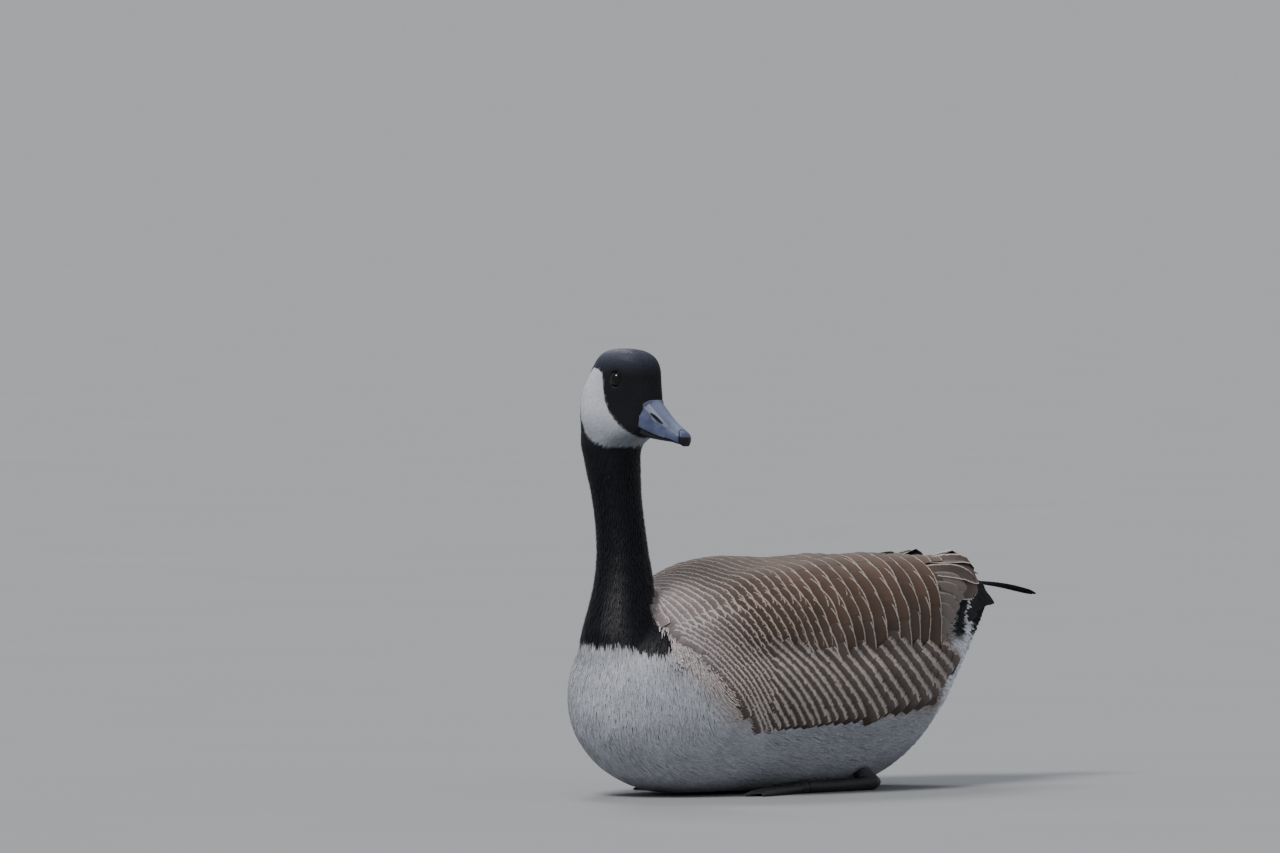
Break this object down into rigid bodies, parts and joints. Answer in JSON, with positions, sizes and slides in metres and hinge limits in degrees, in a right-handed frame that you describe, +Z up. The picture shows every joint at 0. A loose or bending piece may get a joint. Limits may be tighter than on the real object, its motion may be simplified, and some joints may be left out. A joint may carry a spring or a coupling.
{
  "type": "canada goose",
  "caption": "Life-size still model of a goose at rest on its belly, neck up, head turned to its left, feet tucked under.",
  "frame": {"origin": "middle of the flat under the belly, on the floor", "axes": "+Z up; the breast points to -Y and the tail to +Y; +X is the bird's left, where the head looks"},
  "size_m": [0.2054, 0.5411, 0.3928],
  "materials": {
    "belly_feather": "matte",
    "black_feather": "matte with a soft sheen",
    "wing_feather": "matte",
    "flank_feather": "matte",
    "bill_skin": "satin",
    "nail_horn": "gloss",
    "eye_gloss": "wet gloss",
    "leg_skin": "leathery"
  },
  "bodies": {
    "root": {"torso": "belly_feather", "neck_lower": "black_feather", "neck_upper": "black_feather", "head": "black_feather", "bill_upper": "bill_skin", "bill_lower": "bill_skin", "bill_nail": "nail_horn", "eye_left": "eye_gloss", "eye_right": "eye_gloss", "wing_left": "wing_feather", "wing_right": "wing_feather", "flank_left": "flank_feather", "flank_right": "flank_feather", "tail": "black_feather", "leg_left": "leg_skin", "leg_right": "leg_skin", "foot_left": "leg_skin", "foot_right": "leg_skin"}
  },
  "joints": []
}
